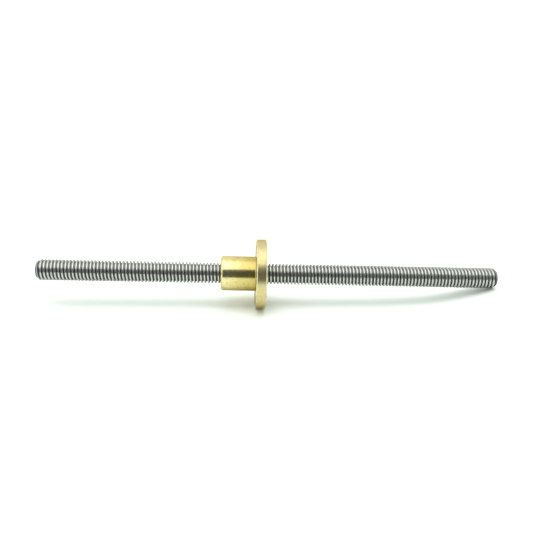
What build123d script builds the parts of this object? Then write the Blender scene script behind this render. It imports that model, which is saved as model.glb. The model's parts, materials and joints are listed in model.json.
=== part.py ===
from build123d import *
import os
from math import atan2, cos, sin

# A trapezoidal lead screw with its flanged brass nut, lying on a flat surface.
# The screw rests on the rim of the nut's flange and on the corner of its own right-hand end,
# so its axis falls towards +X. Sizes are in millimetres.

# Screw: a rod of the thread's nominal diameter, measured over the crests
thread_diameter = 6.0
screw_length = 133.0
end_chamfer_length = 0.9
end_chamfer_depth = 0.8

# Nut: a turned barrel and flange, with four bolt holes
nut_start = 52.3
barrel_diameter = 10.0
barrel_length = 10.0
barrel_chamfer = 0.5
flange_thickness = 3.0
flange_chamfer = 0.3
flange_root_fillet = 0.3
bolt_hole_diameter = 3.0
bolt_hole_count = 4
bore_chamfer = 0.4

# Flat left on both sides of a bolt hole, towards the barrel and towards the flange's rim
barrel_land = 1.0
rim_land = 1.0

# Radial clearance between the screw's crests and the roots of the nut's thread
thread_clearance = 0.1

# What follows from the sizes
screw_radius = thread_diameter / 2
bore_radius = screw_radius + thread_clearance
barrel_radius = barrel_diameter / 2
bolt_hole_radius = bolt_hole_diameter / 2
bolt_circle_radius = barrel_radius + barrel_land + bolt_hole_radius
flange_radius = bolt_circle_radius + bolt_hole_radius + rim_land
nut_length = barrel_length + flange_thickness

# Rest: both circles that touch the surface, as a distance along the screw and a radius
rim_contact = nut_start + nut_length - flange_chamfer
end_contact = screw_length - end_chamfer_length
fall = atan2(flange_radius - screw_radius, end_contact - rim_contact)
start_height = rim_contact * sin(fall) + flange_radius * cos(fall)

# The screw's start lies half its level length to the left of the origin
screw_start = Plane(
    origin=(-screw_length * cos(fall) / 2, 0, start_height),
    x_dir=(0, -1, 0),
    z_dir=(cos(fall), 0, -sin(fall)),
)

# The nut's planes look between two bolt holes, which stand above, below and beside the bore
hole_step = 360 / bolt_hole_count
nut_end = Plane(screw_start.location * Location((0, 0, nut_start), (0, 0, hole_step / 2)))
flange_seat = nut_end.offset(barrel_length)
flange_face = flange_seat.offset(flange_thickness)


def rims_at(part, plane, radius):
    """The part's circular edges of that radius that lie in the plane, centred on its axis."""
    rims = part.edges().filter_by(GeomType.CIRCLE)
    rims = rims.filter_by(lambda edge: abs(edge.radius - radius) < 1e-4)
    return rims.filter_by(lambda edge: (edge.arc_center - plane.origin).length < 1e-4)


with BuildPart() as lead_screw:
    with BuildSketch(screw_start):
        Circle(screw_radius)
    extrude(amount=screw_length)

    # Both ends are turned down below the thread's root, so that a nut starts easily
    for end in (screw_start, screw_start.offset(screw_length)):
        rim = rims_at(lead_screw, end, screw_radius)
        face = lead_screw.faces().filter_by(GeomType.PLANE).sort_by_distance(end.origin)[0]
        chamfer(rim, end_chamfer_depth, end_chamfer_length, reference=face)

lead_screw.part.label = "lead_screw"

with BuildPart() as flanged_nut:
    with BuildSketch(nut_end):
        Circle(barrel_radius)
    extrude(amount=barrel_length)
    with BuildSketch(flange_seat):
        Circle(flange_radius)
    extrude(amount=flange_thickness)

    # The cutter leaves a small radius where the barrel meets the flange's seat
    fillet(rims_at(flanged_nut, flange_seat, barrel_radius), flange_root_fillet)
    chamfer(rims_at(flanged_nut, nut_end, barrel_radius), barrel_chamfer)
    chamfer(rims_at(flanged_nut, flange_seat, flange_radius), flange_chamfer)
    chamfer(rims_at(flanged_nut, flange_face, flange_radius), flange_chamfer)

    # Bore at the root of the nut's thread, opened at both mouths
    with BuildSketch(nut_end):
        Circle(bore_radius)
    extrude(amount=nut_length, mode=Mode.SUBTRACT)
    for mouth in (nut_end, flange_face):
        chamfer(rims_at(flanged_nut, mouth, bore_radius), bore_chamfer)

    with BuildSketch(flange_seat):
        with PolarLocations(bolt_circle_radius, bolt_hole_count, start_angle=hole_step / 2):
            Circle(bolt_hole_radius)
    extrude(amount=flange_thickness, mode=Mode.SUBTRACT)

flanged_nut.part.label = "flanged_nut"

os.makedirs("parts", exist_ok=True)
export_step(lead_screw.part, "parts/lead_screw.step")
export_step(flanged_nut.part, "parts/flanged_nut.step")
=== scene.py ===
"""A trapezoidal lead screw with its brass flanged nut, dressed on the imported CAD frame."""

import json
from math import ceil, cos, pi, radians, sin, tan, tau

import bmesh
import bpy
from bpy.props import FloatProperty, FloatVectorProperty, IntProperty, PointerProperty
from bpy.types import Operator, Panel, PropertyGroup
from mathutils import Matrix, Vector


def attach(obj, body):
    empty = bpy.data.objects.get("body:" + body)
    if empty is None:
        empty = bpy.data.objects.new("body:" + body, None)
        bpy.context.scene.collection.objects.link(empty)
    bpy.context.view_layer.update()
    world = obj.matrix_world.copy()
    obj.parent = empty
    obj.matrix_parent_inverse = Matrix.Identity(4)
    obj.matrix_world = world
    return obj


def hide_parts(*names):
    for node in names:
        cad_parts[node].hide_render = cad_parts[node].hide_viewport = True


bl_info = {
    "name": "Lead screw with flanged nut",
    "version": (1, 0),
    "blender": (4, 5, 0),
    "location": "View3D > Sidebar > Lead Screw",
    "description": "Cuts the threads of a lead screw and its nut, gives them their metals and lights them",
    "category": "Object",
}

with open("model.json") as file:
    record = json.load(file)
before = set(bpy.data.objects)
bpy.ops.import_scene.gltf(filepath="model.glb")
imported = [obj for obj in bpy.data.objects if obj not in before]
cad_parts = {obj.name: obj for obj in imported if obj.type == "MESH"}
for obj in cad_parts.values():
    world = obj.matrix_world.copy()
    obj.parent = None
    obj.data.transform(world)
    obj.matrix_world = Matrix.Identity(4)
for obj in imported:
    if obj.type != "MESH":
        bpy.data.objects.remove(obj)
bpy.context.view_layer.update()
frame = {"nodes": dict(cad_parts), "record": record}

MM = 0.001

# What the frame says of both pieces: distances along the screw's axis and radii, in metres
mounts = {mount["name"]: mount for mount in frame["record"]["mounts"]}
screw_start = Vector(mounts["screw_left_end"]["pos_m"])
screw_vector = Vector(mounts["screw_right_end"]["pos_m"]) - screw_start
axis = screw_vector.normalized()


def along(point):
    """How far along the screw's axis a point lies."""
    return (Vector(point) - screw_start).dot(axis)


def from_axis(point):
    """How far from the screw's axis a point lies."""
    return (Vector(point) - screw_start).cross(axis).length


screw_points = [vertex.co for vertex in frame["nodes"]["lead_screw"].data.vertices]
nut_points = [vertex.co for vertex in frame["nodes"]["flanged_nut"].data.vertices]
nut_start = min(along(point) for point in nut_points)


# Sizes and colours that can be set

class ThreadSettings(PropertyGroup):
    pitch: FloatProperty(
        name="Pitch", description="Travel of the nut in one turn",
        default=1 * MM, unit="LENGTH")
    flank: FloatProperty(
        name="Flank angle", description="Angle between the thread's two flanks",
        default=radians(30), subtype="ANGLE")
    crest: FloatProperty(
        name="Crest", description="Width of the screw's crest along the axis",
        default=0.366 * MM, unit="LENGTH")
    diameter: FloatProperty(
        name="Diameter", description="Screw's diameter over the crests",
        default=2 * max(from_axis(point) for point in screw_points), unit="LENGTH")
    depth: FloatProperty(
        name="Depth", description="Depth of both threads",
        default=0.6 * MM, unit="LENGTH")
    clearance: FloatProperty(
        name="Clearance", description="Gap between a crest and the root that it runs in",
        default=0.1 * MM, unit="LENGTH")
    backlash: FloatProperty(
        name="Backlash", description="Gap between the flanks of the screw and the nut",
        default=0.01 * MM, unit="LENGTH")
    rounding: FloatProperty(
        name="Rounding", description="How much the thread's corners are worn away",
        default=0.05 * MM, unit="LENGTH")
    first_crest: FloatProperty(
        name="First crest", description="Where the first crest stands, level with the axis",
        default=0.16 * MM, unit="LENGTH")


class ScrewSettings(PropertyGroup):
    length: FloatProperty(
        name="Length", description="Screw's length over both ends",
        default=screw_vector.length, unit="LENGTH")
    chamfer_length: FloatProperty(
        name="Chamfer length", description="Length of the cone at each end",
        default=0.9 * MM, unit="LENGTH")
    chamfer_depth: FloatProperty(
        name="Chamfer depth", description="How far the cone goes below the crests",
        default=0.8 * MM, unit="LENGTH")
    steps: IntProperty(
        name="Steps", description="Faces round one turn of the thread", default=48, min=12)


class NutSettings(PropertyGroup):
    barrel_radius: FloatProperty(
        name="Barrel radius", description="Radius of the barrel",
        default=mounts["barrel"]["dims"]["r_mm"] * MM, unit="LENGTH")
    barrel_length: FloatProperty(
        name="Barrel length", description="From the barrel's end to the flange's seat",
        default=along(mounts["flange_bolts"]["pos_m"]) - nut_start, unit="LENGTH")
    barrel_chamfer: FloatProperty(
        name="Barrel chamfer", description="Chamfer at the barrel's end",
        default=0.5 * MM, unit="LENGTH")
    flange_radius: FloatProperty(
        name="Flange radius", description="Radius of the flange",
        default=max(from_axis(point) for point in nut_points), unit="LENGTH")
    length: FloatProperty(
        name="Length", description="From the barrel's end to the flange's face",
        default=max(along(point) for point in nut_points) - nut_start, unit="LENGTH")
    flange_chamfer: FloatProperty(
        name="Flange chamfer", description="Chamfer on both sides of the flange",
        default=0.3 * MM, unit="LENGTH")
    root_fillet: FloatProperty(
        name="Root fillet", description="Radius left where the barrel meets the flange",
        default=0.3 * MM, unit="LENGTH")
    bolt_circle: FloatProperty(
        name="Bolt circle", description="Radius of the circle of bolt holes",
        default=mounts["flange_bolts"]["dims"]["pcd_mm"] / 2 * MM, unit="LENGTH")
    bolt_hole: FloatProperty(
        name="Bolt hole", description="Radius of a bolt hole",
        default=mounts["flange_bolts"]["dims"]["hole_r_mm"] * MM, unit="LENGTH")
    bolt_count: IntProperty(
        name="Bolt holes", description="Number of bolt holes",
        default=mounts["flange_bolts"]["dims"]["count"], min=1)
    mouth_chamfer: FloatProperty(
        name="Mouth chamfer", description="Chamfer that opens the bore at both mouths",
        default=0.4 * MM, unit="LENGTH")
    rounding: FloatProperty(
        name="Rounding", description="How much the turned corners are worn away",
        default=0.06 * MM, unit="LENGTH")
    steps: IntProperty(
        name="Steps", description="Faces round the nut, a multiple of the bolt holes",
        default=96, min=16)


class FinishSettings(PropertyGroup):
    steel: FloatVectorProperty(
        name="Steel", description="Rolled steel on the crests and the ends",
        default=(0.54, 0.545, 0.525), subtype="COLOR", min=0, max=1)
    # Root colour on the top: oil, with painted shade of the grooves
    oil: FloatVectorProperty(
        name="Oil", description="Thin film of oil left in the thread on the screw's top",
        default=(0.29, 0.29, 0.275), subtype="COLOR", min=0, max=1)
    # Darker root colour on the underside: painted shade
    thick_oil: FloatVectorProperty(
        name="Thick oil", description="Old oil and dust that have run to the screw's underside",
        default=(0.12, 0.12, 0.115), subtype="COLOR", min=0, max=1)
    steel_glance: FloatVectorProperty(
        name="Glancing steel", description="Tint of the steel where it is seen at a low angle",
        default=(0.4, 0.41, 0.4), subtype="COLOR", min=0, max=1)
    brass: FloatVectorProperty(
        name="Brass", description="Turned brass at the barrel's free end",
        default=(0.81, 0.71, 0.37), subtype="COLOR", min=0, max=1)
    golden: FloatVectorProperty(
        name="Golden brass", description="Brass that a thin film has yellowed, beside the flange",
        default=(0.60, 0.47, 0.15), subtype="COLOR", min=0, max=1)
    flange: FloatVectorProperty(
        name="Flange", description="Duller brass of the flange",
        default=(0.64, 0.545, 0.27), subtype="COLOR", min=0, max=1)
    # The chamfers' paler colour is a painted highlight
    corner: FloatVectorProperty(
        name="Flange's corners", description="Bare brass on the flange's two chamfers",
        default=(0.93, 0.88, 0.66), subtype="COLOR", min=0, max=1)
    tarnish: FloatVectorProperty(
        name="Tarnish", description="Brown bloom on the brass",
        default=(0.38, 0.27, 0.13), subtype="COLOR", min=0, max=1)
    # Dark colour inside the bolt holes: painted shade
    hole: FloatVectorProperty(
        name="Bolt holes", description="Cutting oil that has dried inside the bolt holes",
        default=(0.03, 0.025, 0.015), subtype="COLOR", min=0, max=1)
    brass_glance: FloatVectorProperty(
        name="Glancing brass", description="Tint of the brass where it is seen at a low angle",
        default=(0.7, 0.64, 0.5), subtype="COLOR", min=0, max=1)


class StageSettings(PropertyGroup):
    lens: FloatProperty(
        name="Lens", description="Focal length in millimetres on a 36 mm sensor", default=41.32)
    shift: FloatProperty(
        name="Shift", description="How far the lens is moved sideways, as a share of the picture",
        default=0.01945)
    camera_at: FloatVectorProperty(
        name="Camera", description="Where the camera stands",
        default=(-3.29 * MM, -169.97 * MM, 78.29 * MM), subtype="TRANSLATION", unit="LENGTH")
    azimuth: FloatProperty(
        name="Azimuth", description="How far the camera looks to the right of +Y",
        default=radians(0.55), subtype="ANGLE")
    elevation: FloatProperty(
        name="Elevation", description="How far the camera looks down",
        default=radians(22), subtype="ANGLE")
    roll: FloatProperty(
        name="Roll", description="How far the camera leans to the right",
        default=radians(-4.24), subtype="ANGLE")
    floor_size: FloatProperty(
        name="Floor", description="Width of the floor", default=30, unit="LENGTH")
    floor: FloatVectorProperty(
        name="Floor colour", description="Matt paper that the screw lies on",
        default=(0.87, 0.92, 0.88), subtype="COLOR", min=0, max=1)
    dip: FloatProperty(
        name="Dip", description="How far the paper sags between the flange and the screw's end",
        default=2.9 * MM, unit="LENGTH")
    dip_at: FloatProperty(
        name="Dip's place", description="Where along X the paper is lowest",
        default=43.6 * MM, unit="LENGTH")
    dip_curve: FloatProperty(
        name="Dip's curve", description="Half the width of the curve at the bottom of the dip",
        default=16.1 * MM, unit="LENGTH")
    dip_end: FloatProperty(
        name="Dip's end", description="Where along X the paper is level again, on the right",
        default=65.6 * MM, unit="LENGTH")
    slope: FloatProperty(
        name="Slope", description="How steeply the paper rises to the left of the dip",
        default=0.0888)
    slope_end: FloatProperty(
        name="Slope's end", description="Where along X the rising paper is level again",
        default=-75 * MM, unit="LENGTH")
    key: FloatProperty(
        name="Key light", description="Strength of the lamp overhead", default=0.85)
    key_colour: FloatVectorProperty(
        name="Key light's colour", description="Colour of the lamp overhead",
        default=(1.0, 0.97, 1.0), subtype="COLOR", min=0, max=1)
    key_width: FloatProperty(
        name="Key light's width", description="How wide the lamp looks from the screw",
        default=radians(34), subtype="ANGLE")
    key_towards: FloatVectorProperty(
        name="Key light's place", description="Direction in which the lamp stands",
        default=(0.08, -0.2, 1), subtype="XYZ")
    card: FloatProperty(
        name="Dark card", description="How far in front of the screw the floor turns dark",
        default=80 * MM, unit="LENGTH")
    card_colour: FloatVectorProperty(
        name="Dark card's colour", description="Colour of the card that reflections show",
        default=(0.04, 0.044, 0.042), subtype="COLOR", min=0, max=1)
    box: FloatVectorProperty(
        name="Soft box", description="Light of the soft box overhead",
        default=(1.82, 1.87, 1.82), subtype="COLOR", min=0, max=10)
    high_wall: FloatVectorProperty(
        name="Wall at the back", description="Light of the wall behind the screw",
        default=(1.15, 1.18, 1.13), subtype="COLOR", min=0, max=10)
    low_wall: FloatVectorProperty(
        name="Wall's foot", description="Light of the wall behind the screw, near the floor",
        default=(1.0, 1.0, 1.0), subtype="COLOR", min=0, max=10)
    side_wall: FloatVectorProperty(
        name="Side walls", description="Light of the walls at both sides",
        default=(1.2, 1.25, 1.2), subtype="COLOR", min=0, max=10)
    dark_wall: FloatVectorProperty(
        name="Dark wall", description="Light of the wall on the camera's side",
        default=(0.10, 0.115, 0.115), subtype="COLOR", min=0, max=10)
    backdrop: FloatVectorProperty(
        name="Backdrop", description="White that the camera sees past the floor",
        default=(1.1, 1.1, 1.1), subtype="COLOR", min=0, max=10)


# Meshes

def skin(surface, columns):
    """Joins neighbouring columns of points with faces."""
    rows = [[surface.verts.new(point) for point in column] for column in columns]
    for left, right in zip(rows, rows[1:]):
        for i in range(len(left) - 1):
            surface.faces.new((left[i], left[i + 1], right[i + 1], right[i]))


def revolve(surface, column_at, steps):
    """Turns a section about X. The section at each share of a turn is a list of (x, radius)."""
    columns = []
    for step in range(steps + 1):
        share = step / steps
        turn = tau * share
        columns.append([(x, r * cos(turn), r * sin(turn)) for x, r in column_at(share)])
    skin(surface, columns)


def rounded(section, size):
    """The section with each inner corner cut back by size along both of its sides."""
    points = [Vector(point) for point in section]
    cut = [points[0]]
    for before, corner, after in zip(points, points[1:], points[2:]):
        cut.append(corner + (before - corner).normalized() * size)
        cut.append(corner + (after - corner).normalized() * size)
    cut.append(points[-1])
    return [tuple(point) for point in cut]


def thread_turn(thread, root, crest, crest_half):
    """One turn of a thread's section, as (distance from the crest's middle, radius)."""
    rise = abs(crest - root) * tan(thread.flank / 2)
    half = thread.pitch / 2
    section = [(-half, root), (-crest_half - rise, root), (-crest_half, crest),
               (crest_half, crest), (crest_half + rise, root), (half, root)]
    section = rounded(section, thread.rounding)[1:-1]
    third = crest_half / 3
    return section[:4] + [(-third, crest), (third, crest)] + section[4:]


def thread_column(turn, pitch, start, length, limit):
    """Gives the section at each share of a turn, cut off at 0 and length, its radii within limit."""
    spare = 2
    turns = range(-spare, ceil(length / pitch) + spare)
    strip = [(start + pitch * number + x, r) for number in turns for x, r in turn]

    def column_at(share):
        column = []
        for x, r in strip:
            x = min(max(x + pitch * share, 0), length)
            column.append((x, limit(x, r)))
        return column

    return column_at


def drill(surface, nut, inner, outer, seat, face):
    """Makes the flange's two faces, from the inner to the outer radius, and the bolt holes' walls."""
    side_steps = 6
    wedge = tau / nut.bolt_count
    arc_steps = nut.steps // nut.bolt_count
    edge = nut.rounding * 2
    for hole in range(nut.bolt_count):
        turn = wedge * hole
        arc = [turn + wedge * (i / arc_steps - 0.5) for i in range(arc_steps + 1)]
        side = [outer + (inner - outer) * i / side_steps for i in range(side_steps + 1)]
        outline = [(angle, outer) for angle in arc] + [(arc[-1], r) for r in side[1:-1]]
        outline += [(angle, inner) for angle in reversed(arc)]
        outline += [(arc[0], r) for r in side[-2:0:-1]]
        outline.append(outline[0])
        middle = Vector((0, cos(turn), sin(turn))) * nut.bolt_circle
        columns = []
        for angle, r in outline:
            rim = Vector((0, cos(angle), sin(angle))) * r
            out = (rim - middle).normalized()
            mouth = middle + out * (nut.bolt_hole + edge)
            wall = middle + out * nut.bolt_hole
            stations = ((rim, seat), (mouth, seat), (wall, seat + edge),
                        (wall, face - edge), (mouth, face), (rim, face))
            columns.append([point + Vector((x, 0, 0)) for point, x in stations])
        skin(surface, columns)


def finished(name, surface, start, material, body, node):
    """Closes a mesh, stands it on the axis at start and hangs it on its body instead of its node."""
    weld = 0.001 * MM
    sharp_from = radians(47)
    bmesh.ops.remove_doubles(surface, verts=surface.verts, dist=weld)
    bmesh.ops.dissolve_degenerate(surface, edges=surface.edges, dist=weld)
    bmesh.ops.recalc_face_normals(surface, faces=surface.faces)
    mesh = bpy.data.meshes.new(name)
    surface.to_mesh(mesh)
    surface.free()
    mesh.shade_smooth()
    mesh.set_sharp_from_angle(angle=sharp_from)
    mesh.materials.append(material)
    piece = bpy.data.objects.new(name, mesh)
    bpy.context.scene.collection.objects.link(piece)
    normals = piece.modifiers.new("Weighted normals", "WEIGHTED_NORMAL")
    normals.keep_sharp = True
    sideways = Vector((0, 1, 0))
    piece.matrix_world = Matrix.Translation(start) @ Matrix(
        (axis, sideways, axis.cross(sideways))).transposed().to_4x4()
    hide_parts(node)
    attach(piece, body)
    return piece


# Materials

class Wire:
    """A shader's value. Python's operators on it add Math nodes."""

    def __init__(self, graph, socket):
        self.graph = graph
        self.socket = socket

    def calculated(self, operation, *values):
        """A Math node's result."""
        return self.graph.add("ShaderNodeMath", {"operation": operation}, *values)

    def __add__(self, other):
        return self.calculated("ADD", self, other)

    def __sub__(self, other):
        return self.calculated("SUBTRACT", self, other)

    def __rsub__(self, other):
        return self.calculated("SUBTRACT", other, self)

    def __mul__(self, other):
        return self.calculated("MULTIPLY", self, other)

    def __abs__(self):
        return self.calculated("ABSOLUTE", self)

    def __pow__(self, other):
        return self.calculated("POWER", self, other)

    __radd__ = __add__
    __rmul__ = __mul__


class Graph:
    """The nodes of a material or a world."""

    def __init__(self, owner):
        owner.use_nodes = True
        self.tree = owner.node_tree
        self.tree.nodes.clear()

    def add(self, kind, settings=None, *values, output=0, **sockets):
        """Adds a node: its settings first, then the values or links of its sockets."""
        node = self.tree.nodes.new(kind)
        for key, value in (settings or {}).items():
            setattr(node, key, value)
        named = {name.replace("_", " "): value for name, value in sockets.items()}
        for key, value in [*enumerate(values), *named.items()]:
            if isinstance(value, Wire):
                self.tree.links.new(value.socket, node.inputs[key])
            elif value is not None:
                node.inputs[key].default_value = value
        return Wire(self, node.outputs[output] if node.outputs else None)

    def place(self):
        """The point on the piece, in millimetres in the piece's own frame."""
        point = self.add("ShaderNodeTexCoord", None, output="Object")
        return self.add("ShaderNodeVectorMath", {"operation": "SCALE"}, point, Scale=1 / MM)

    def split(self, vector):
        """A vector's X, Y and Z."""
        parts = self.add("ShaderNodeSeparateXYZ", None, vector)
        return [Wire(self, socket) for socket in parts.socket.node.outputs]

    def vector(self, x, y, z):
        """A vector from its X, Y and Z."""
        return self.add("ShaderNodeCombineXYZ", None, x, y, z)

    def noise(self, vector, scale, detail, roughness):
        """Soft clouds that run from 0 to 1."""
        return self.add("ShaderNodeTexNoise", None, Vector=vector, Scale=scale, Detail=detail,
                        Roughness=roughness)

    def ease(self, value, start, end, low=0, high=1):
        """Rises smoothly from low to high while the value goes from start to end."""
        return self.add("ShaderNodeMapRange", {"interpolation_type": "SMOOTHSTEP"},
                        value, start, end, low, high)

    def edge(self, value, softness):
        """Rises from 0 to 1 where the value passes zero."""
        return self.ease(value, -softness, softness)

    def swing(self, pattern, amount):
        """A pattern that runs from 0 to 1, moved to swing about zero."""
        return (pattern - 0.5) * amount

    def blend(self, share, one, other):
        """A colour between two, by a share."""
        ends = [end if isinstance(end, Wire) else (*end, 1) for end in (one, other)]

        # The node's sockets between its share and its two colours are for other kinds of data
        skipped = [None] * 5
        return self.add("ShaderNodeMix", {"data_type": "RGBA"}, share, *skipped, *ends, output=2)

    def metal(self, colour, roughness, glance, bump):
        """A metal's shader, with the tint that it has at a low angle."""
        shader = self.add("ShaderNodeBsdfPrincipled", None, Base_Color=colour, Metallic=1.0,
                          Roughness=roughness, Specular_Tint=(*glance, 1), Normal=bump)
        self.add("ShaderNodeOutputMaterial", None, Surface=shader)


def steel_material(finish, thread, screw):
    """Rolled steel: bright crests and ends with fine marks along the turns, oil and painted shade in the
    roots, more painted shade underneath.
    """
    material = bpy.data.materials.new("rolled_steel")
    graph = Graph(material)
    point = graph.place()
    x, y, z = graph.split(point)
    radius = (y * y + z * z) ** 0.5

    # Oil and painted shade darken the root, and handling keeps the crest and the flat end faces clean
    crest, depth, half = thread.diameter / 2 / MM, thread.depth / MM, screw.length / 2 / MM
    hidden, bare = 0.15 * depth, 0.07
    clean_and_unshaded = graph.ease(radius, crest - depth + hidden, crest - bare)
    before_end, at_end = half - 0.06, half - 0.02
    end_face = graph.ease(abs(x - half), before_end, at_end)
    clean_and_unshaded = clean_and_unshaded.calculated("MAXIMUM", clean_and_unshaded, end_face)

    # The root colour is paler on top and darker from a little above the middle downwards: painted shade on
    # the screw's underside
    shaded_below, paler_above = 0.9, 2.0
    oil = graph.blend(graph.ease(z, shaded_below, paler_above), finish.thick_oil, finish.oil)

    # The rolling marks are fine across the turns and drawn out along them
    fine, drawn_out = 9, 0.8
    stretched = graph.vector(x * fine, y * drawn_out, z * drawn_out)
    turns = graph.noise(stretched, scale=1.6, detail=4, roughness=0.6)
    bump = graph.add("ShaderNodeBump", None, Strength=0.35, Distance=0.01 * MM, Height=turns)

    # Patches of the surface are cleaner than others
    patches = graph.noise(point, scale=0.55, detail=3, roughness=0.55)
    colour = graph.blend(clean_and_unshaded * (1 + graph.swing(patches, 0.5)), oil, finish.steel)
    oily, polished = 0.48, 0.19
    roughness = oily - clean_and_unshaded * (oily - polished)
    roughness = roughness + graph.swing(turns, 0.16) + graph.swing(patches, 0.12)
    graph.metal(colour, roughness, finish.steel_glance, bump)
    return material


def brass_material(finish, nut):
    """Turned brass: fine rings, paler at the free end, golden by the flange, dull rim, painted highlight
    on the chamfers, painted shade in the holes.
    """
    material = bpy.data.materials.new("turned_brass")
    graph = Graph(material)
    point = graph.place()
    x, y, z = graph.split(point)
    radius = (y * y + z * z) ** 0.5

    # The flange, its rim and the chamfers on both sides of the rim
    barrel, edge = nut.barrel_radius / MM, nut.flange_radius / MM
    chamfer, worn, soft = nut.flange_chamfer / MM, 0.08, 0.04
    duller, dullest = barrel + 0.5, barrel + 1.5
    flange = graph.ease(radius, duller, dullest)
    rim = graph.ease(radius, edge - worn - soft, edge - worn + soft)
    corner = graph.ease(radius, edge - chamfer - soft, edge - chamfer + soft) - rim

    # The turning marks are fine along the tool's way and drawn out round the nut
    fine, drawn_out = 7, 0.12
    stretched = graph.vector((x + radius) * fine, y * drawn_out, z * drawn_out)
    rings = graph.noise(stretched, scale=1.5, detail=3, roughness=0.65)

    # The golden film begins near the barrel's free end and is full near the flange
    film_start, film_full, wander = 0.5, 8.5, 9
    drift = graph.swing(graph.noise(point, scale=0.45, detail=3, roughness=0.6), wander)
    base = graph.blend(graph.ease(x + drift, film_start, film_full), finish.brass, finish.golden)
    base = graph.blend(flange, base, finish.flange)
    # The chamfers get a paler brass: a painted highlight
    chamfer_highlight_share = 0.8
    base = graph.blend(corner * chamfer_highlight_share, base, finish.corner)

    # Brown bloom lies in clouds and in small specks, where their noise is high
    cloud_share, speck_share = 0.3, 0.35
    clouds = graph.ease(graph.noise(point, scale=1.1, detail=5, roughness=0.68), 0.48, 0.72)
    grain = graph.noise(point, scale=2.6, detail=3, roughness=0.6)
    specks = graph.ease(grain, 0.5, 0.68)
    stain = clouds * cloud_share + specks * speck_share
    stained = graph.blend(stain, base, finish.tarnish)

    # Painted shade darkens the inside of the bolt holes, which stand above, below and beside the bore
    far = y.calculated("MAXIMUM", abs(y), abs(z)) - nut.bolt_circle / MM
    near = y.calculated("MINIMUM", abs(y), abs(z))
    from_hole = (far * far + near * near) ** 0.5
    wall, shade_reach, inside = nut.bolt_hole / MM, 0.2, 0.02
    hole = graph.ease(from_hole, wall + shade_reach, wall - inside)
    hole_shade_share = 0.85
    colour = graph.blend(hole * hole_shade_share, stained, finish.hole)

    # Stain, the rim and the holes are duller than the turned brass
    polished = 0.2
    roughness = polished + graph.swing(rings, 0.14) + stain * 0.14 + rim * 0.1 + hole * 0.3
    ring_height, grain_height = 0.35, 0.65
    bump = graph.add("ShaderNodeBump", None, Strength=0.5, Distance=0.03 * MM,
                     Height=rings * ring_height + grain * grain_height)
    graph.metal(colour, roughness, finish.brass_glance, bump)
    return material


def paper_material(name, tone):
    """Matt paper with faint fibres."""
    material = bpy.data.materials.new(name)
    graph = Graph(material)
    fibres = graph.noise(graph.place(), scale=1.5, detail=3, roughness=0.6)
    shade = 0.99
    colour = graph.blend(fibres, tone, [channel * shade for channel in tone])
    shader = graph.add("ShaderNodeBsdfPrincipled", None, Base_Color=colour, Roughness=0.9,
                       Specular_IOR_Level=0.1)
    graph.add("ShaderNodeOutputMaterial", None, Surface=shader)
    return material


# Operators

class LEADSCREW_OT_screw(Operator):
    """Cuts the screw's thread between its two chamfered ends"""
    bl_idname = "leadscrew.screw"
    bl_label = "Threaded screw"

    def execute(self, context):
        thread, screw = context.scene.lead_thread, context.scene.lead_screw
        radius, length = thread.diameter / 2, screw.length
        slope = screw.chamfer_depth / screw.chamfer_length
        tip = radius - screw.chamfer_depth

        def inside_cones(x, r):
            return min(r, tip + slope * x, tip + slope * (length - x))

        turn = thread_turn(thread, radius - thread.depth, radius, thread.crest / 2)
        wall_at = thread_column(turn, thread.pitch, thread.first_crest, length, inside_cones)
        surface = bmesh.new()
        revolve(surface, lambda share: [(0, 0), *wall_at(share), (length, 0)], screw.steps)
        material = steel_material(context.scene.lead_finish, thread, screw)
        piece = finished("threaded_screw", surface, screw_start, material, "screw", "lead_screw")
        return {"FINISHED"}


class LEADSCREW_OT_nut(Operator):
    """Turns the nut's barrel and flange, drills its bolt holes and cuts its thread"""
    bl_idname = "leadscrew.nut"
    bl_label = "Flanged nut"

    def execute(self, context):
        thread, nut = context.scene.lead_thread, context.scene.lead_nut
        seat, face = nut.barrel_length, nut.length
        root = thread.diameter / 2 + thread.clearance
        mouth = root + nut.mouth_chamfer
        surface = bmesh.new()

        barrel, chamfer, fillet = nut.barrel_radius, nut.barrel_chamfer, nut.root_fillet
        outside = rounded([(0, mouth), (0, barrel - chamfer), (chamfer, barrel),
                           (seat - fillet, barrel)], nut.rounding)
        fillet_steps = 5
        for step in range(1, fillet_steps + 1):
            turn = pi / 2 * step / fillet_steps
            outside.append((seat - fillet + fillet * sin(turn),
                            barrel + fillet - fillet * cos(turn)))
        revolve(surface, lambda share: outside, nut.steps)

        flange, chamfer = nut.flange_radius, nut.flange_chamfer
        rim = [(seat, flange - 2 * chamfer), (seat, flange - chamfer), (seat + chamfer, flange),
               (face - chamfer, flange), (face, flange - chamfer), (face, flange - 2 * chamfer)]
        rim = rounded(rim, nut.rounding)[1:-1]
        revolve(surface, lambda share: rim, nut.steps)
        drill(surface, nut, barrel + fillet, rim[0][1], seat, face)
        revolve(surface, lambda share: [(face, barrel + fillet), (face, mouth)], nut.steps)

        def outside_cones(x, r):
            return max(r, mouth - x, mouth - (face - x))

        # The nut's thread stands in the screw's grooves, half a pitch from the screw's crests
        flank = (thread.depth - thread.clearance) * tan(thread.flank / 2)
        crest_half = thread.pitch / 2 - thread.crest / 2 - flank - thread.backlash
        turn = thread_turn(thread, root, root - thread.depth, crest_half)
        start = (thread.first_crest + thread.pitch / 2 - nut_start) % thread.pitch
        wall_at = thread_column(turn, thread.pitch, start, face, outside_cones)
        revolve(surface, wall_at, nut.steps)

        material = brass_material(context.scene.lead_finish, nut)
        piece = finished("turned_nut", surface, screw_start + axis * nut_start, material, "nut",
                         "flanged_nut")
        return {"FINISHED"}


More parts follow.
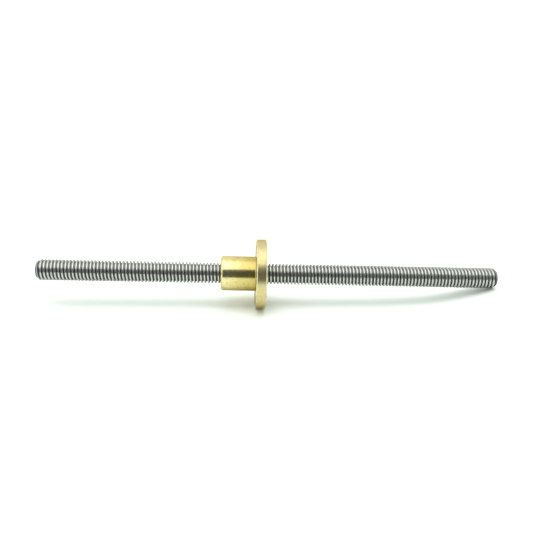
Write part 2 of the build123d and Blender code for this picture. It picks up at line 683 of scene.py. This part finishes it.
class LEADSCREW_OT_stage(Operator):
    """Lays the floor, lights it and sets up the camera"""
    bl_idname = "leadscrew.stage"
    bl_label = "Floor, light and camera"

    def execute(self, context):
        scene, stage = context.scene, context.scene.lead_stage
        side = stage.floor_size / 2
        self.lay_sheet(scene, stage, "pale_floor", side, 0, paper_material("pale_paper", stage.floor))
        self.shade_front(scene, stage)
        self.light_room(scene, stage)
        self.hang_lamp(scene, stage)
        self.aim_camera(scene, stage)
        scene.view_settings.view_transform = "Standard"
        return {"FINISHED"}

    def paper_height(self, stage, x):
        """Height of the bowed paper, which touches zero under the flange and the screw's end."""
        def bend(distance):
            return (distance**2 + stage.dip_curve**2) ** 0.5 - stage.dip_curve

        x = max(x, stage.slope_end)
        if x < stage.dip_at:
            return stage.slope * bend(x - stage.dip_at) - stage.dip
        share = bend(x - stage.dip_at) / bend(stage.dip_end - stage.dip_at)
        return stage.dip * (min(share, 1) - 1)

    def lay_sheet(self, scene, stage, name, back, lift, material):
        """Lays a sheet of bowed paper from the front of the floor to back, lifted off it by lift."""
        side, steps, margin = stage.floor_size / 2, 80, 0.05
        reach = stage.dip_end - stage.slope_end
        shares = [i / steps * (1 + 2 * margin) - margin for i in range(steps + 1)]
        stations = [stage.slope_end + reach * share for share in shares]
        columns = []
        for x in (-side, *stations, side):
            z = self.paper_height(stage, x) + lift
            columns.append([(x, -side, z), (x, back, z)])
        surface = bmesh.new()
        skin(surface, columns)
        mesh = bpy.data.meshes.new(name)
        surface.to_mesh(mesh)
        surface.free()
        mesh.shade_smooth()
        mesh.materials.append(material)
        sheet = bpy.data.objects.new(name, mesh)
        scene.collection.objects.link(sheet)
        return sheet

    def shade_front(self, scene, stage):
        """Lays a dark card on the floor before the screw, which only reflections see."""
        dark = paper_material("dark_paper", stage.card_colour)
        card = self.lay_sheet(scene, stage, "dark_card", -stage.card, 1 * MM, dark)
        card.visible_camera = False
        card.visible_diffuse = False
        card.visible_shadow = False

    def light_room(self, scene, stage):
        """A soft box overhead, pale walls behind the screw and at its sides, a dark one in front."""
        world = bpy.data.worlds.new("studio")
        scene.world = world
        graph = Graph(world)
        towards = graph.add("ShaderNodeTexCoord", None, output="Generated")
        x, y, z = graph.split(towards)

        # Heights, sideways shares and soft edges are those of a direction of length 1
        foot, above_foot = 0.05, 0.12
        back_wall = graph.blend(graph.ease(z, foot, above_foot), stage.low_wall, stage.high_wall)
        wall = graph.blend(graph.edge(y, 0.15), stage.dark_wall, back_wall)
        towards_side, at_side = 0.6, 0.75
        wall = graph.blend(graph.ease(abs(x), towards_side, at_side), wall, stage.side_wall)

        # The box reaches as far forward as it is high, and further on the left than on the right
        front_slant, side_reach, back_reach = 0.56, 0.9, 0.33
        front_edge = graph.edge(z + y - x * front_slant, 0.03)
        side_edges = graph.edge(z * side_reach - abs(x), 0.05)
        back_edge = graph.edge(z * back_reach - y, 0.2)
        room = graph.blend(front_edge * back_edge * side_edges, wall, stage.box)
        seen = graph.add("ShaderNodeLightPath", None, output="Is Camera Ray")
        colour = graph.blend(seen, room, stage.backdrop)
        shader = graph.add("ShaderNodeBackground", None, Color=colour)
        graph.add("ShaderNodeOutputWorld", None, Surface=shader)

    def hang_lamp(self, scene, stage):
        """Hangs a wide lamp overhead, which reflections don't show."""
        lamp = bpy.data.lights.new("key", "SUN")
        lamp.energy = stage.key
        lamp.color = stage.key_colour
        lamp.angle = stage.key_width
        key = bpy.data.objects.new("key", lamp)
        key.rotation_euler = Vector(stage.key_towards).to_track_quat("Z", "Y").to_euler()
        key.visible_glossy = False
        scene.collection.objects.link(key)

    def aim_camera(self, scene, stage):
        """Sets up the camera at the photo's angle."""
        forward = Vector((sin(stage.azimuth) * cos(stage.elevation),
                          cos(stage.azimuth) * cos(stage.elevation), -sin(stage.elevation)))
        level = Vector((cos(stage.azimuth), -sin(stage.azimuth), 0))
        upright = level.cross(forward)
        right = level * cos(stage.roll) + upright * sin(stage.roll)
        up = upright * cos(stage.roll) - level * sin(stage.roll)
        lens = bpy.data.cameras.new("camera")
        lens.lens = stage.lens
        lens.shift_x = stage.shift
        lens.clip_start, lens.clip_end = 1 * MM, 100
        camera = bpy.data.objects.new("camera", lens)
        camera.matrix_world = Matrix.Translation(stage.camera_at) @ Matrix(
            (right, up, -forward)).transposed().to_4x4()
        scene.collection.objects.link(camera)
        scene.camera = camera


class LEADSCREW_PT_panel(Panel):
    """Lists the pieces and the sizes that they are made from"""
    bl_idname = "LEADSCREW_PT_panel"
    bl_label = "Lead screw"
    bl_space_type = "VIEW_3D"
    bl_region_type = "UI"
    bl_category = "Lead Screw"

    def draw(self, context):
        groups = (("lead_thread", None), ("lead_screw", "leadscrew.screw"),
                  ("lead_nut", "leadscrew.nut"), ("lead_finish", None),
                  ("lead_stage", "leadscrew.stage"))
        for name, operator in groups:
            box = self.layout.box()
            group = getattr(context.scene, name)
            for key in group.__annotations__:
                box.prop(group, key)
            if operator:
                box.operator(operator)


scene_groups = {"lead_thread": ThreadSettings, "lead_screw": ScrewSettings,
                "lead_nut": NutSettings, "lead_finish": FinishSettings,
                "lead_stage": StageSettings}
classes = (*scene_groups.values(), LEADSCREW_OT_screw, LEADSCREW_OT_nut, LEADSCREW_OT_stage,
           LEADSCREW_PT_panel)


def register():
    for each in classes:
        bpy.utils.register_class(each)
    for name, group in scene_groups.items():
        setattr(bpy.types.Scene, name, PointerProperty(type=group))


def unregister():
    for name in scene_groups:
        delattr(bpy.types.Scene, name)
    for each in reversed(classes):
        bpy.utils.unregister_class(each)


def main():
    """Makes every piece and the stage."""
    register()
    bpy.ops.leadscrew.screw()
    bpy.ops.leadscrew.nut()
    bpy.ops.leadscrew.stage()


if __name__ == "__main__":
    main()
